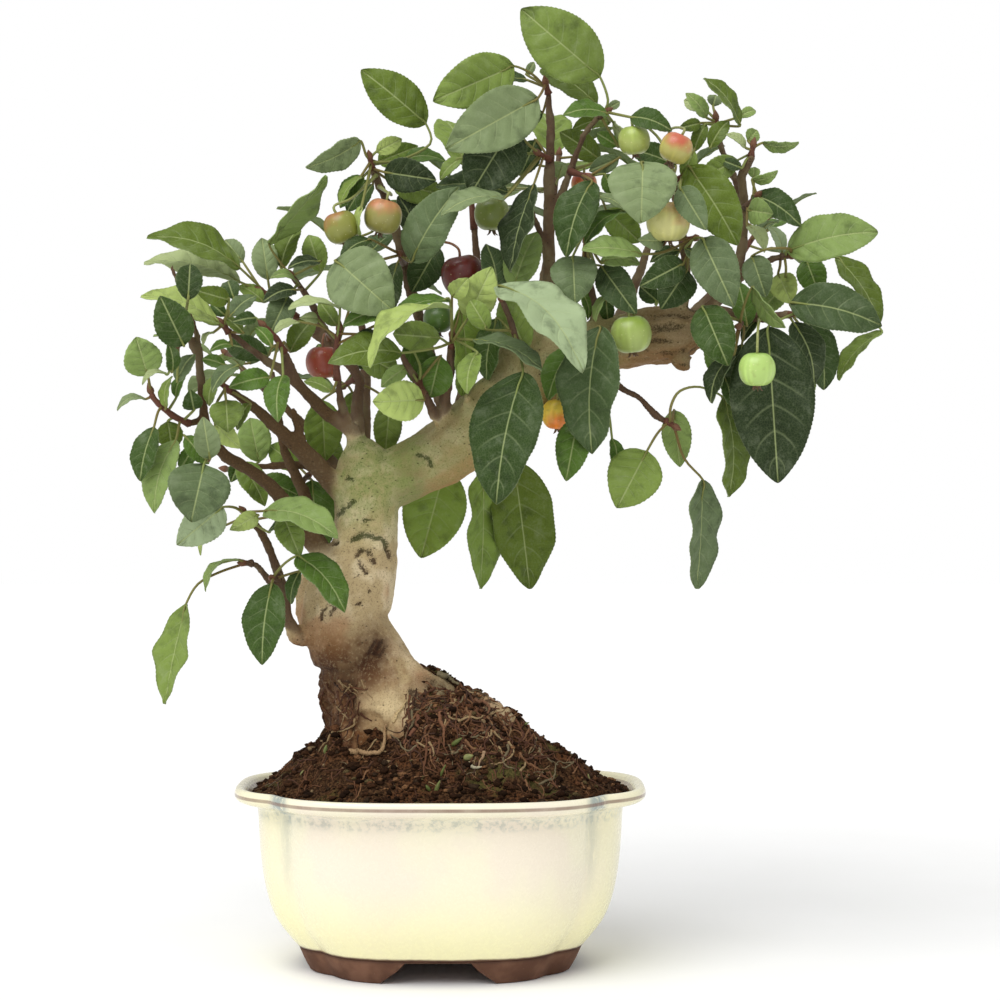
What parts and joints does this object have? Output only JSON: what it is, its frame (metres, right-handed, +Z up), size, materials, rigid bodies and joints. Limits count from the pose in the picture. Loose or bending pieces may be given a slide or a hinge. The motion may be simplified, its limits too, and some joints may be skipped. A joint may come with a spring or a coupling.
{
  "type": "crabapple bonsai",
  "caption": "Crabapple bonsai with a bent trunk, a heavy limb leaning right, leafy sprays and small fruit, in a four-lobed glazed pot.",
  "frame": {"origin": "on the ground, under the middle of the whole tree's box", "axes": "+Z up; -Y towards the tree's front; +X to the right, the way the heavy limb leans"},
  "size_m": [0.3026, 0.1584, 0.378],
  "materials": {
    "glaze": "gloss",
    "clay": "matte",
    "screen": "matte",
    "soil": "matte",
    "bark": "matte",
    "twig": "matte",
    "leaf": "satin",
    "fruit_green": "satin",
    "fruit_blushed": "satin",
    "fruit_red": "satin",
    "fruit_orange": "satin"
  },
  "bodies": {
    "root": {"pot": "glaze", "drain_screen_left": "screen", "drain_screen_right": "screen", "soil": "soil", "trunk": "bark", "apple_blushed_left": "fruit_blushed", "apple_peach": "fruit_blushed", "apple_maroon": "fruit_red", "apple_dull_red": "fruit_red", "apple_green_limb": "fruit_green", "apple_pale_hanging": "fruit_green", "apple_blushed_right": "fruit_blushed", "apple_yellow_green": "fruit_green", "apple_golden": "fruit_blushed", "apple_orange": "fruit_orange", "apple_small_orange": "fruit_orange", "apple_olive": "fruit_green", "apple_dark_green": "fruit_green", "spray_left_arch": "leaf", "spray_left_peak": "leaf", "spray_left_inner": "leaf", "spray_left_bud": "leaf", "spray_left_edge": "leaf", "spray_left_spur": "leaf", "spray_left_hollow": "leaf", "spray_left_broad": "leaf", "spray_left_behind": "leaf", "spray_left_shade": "leaf", "spray_left_wing": "leaf", "spray_left_dangle": "leaf", "spray_left_foot": "leaf", "spray_crest_left": "leaf", "spray_shoulder_left": "leaf", "spray_crown_left": "leaf", "spray_crown_under": "leaf", "spray_crotch_round": "leaf", "spray_crotch_bud": "leaf", "spray_limb_front": "leaf", "spray_leader_top": "leaf", "spray_leader_side": "leaf", "spray_summit": "leaf", "spray_inner_fan": "leaf", "spray_inner_low": "leaf", "spray_right_fan": "leaf", "spray_right_heart": "leaf", "spray_right_bud": "leaf", "spray_right_tip": "leaf", "spray_right_crest": "leaf", "spray_right_wing": "leaf", "spray_right_skirt": "leaf", "spray_right_knee": "leaf", "spray_hanging_shoot": "leaf", "spray_limb_curtain": "leaf", "spray_limb_hanging": "leaf", "back_left_spray": "leaf", "back_crown_spray": "leaf", "back_middle_spray": "leaf", "back_leader_spray": "leaf", "back_right_spray": "leaf", "back_far_right_spray": "leaf"}
  },
  "joints": []
}
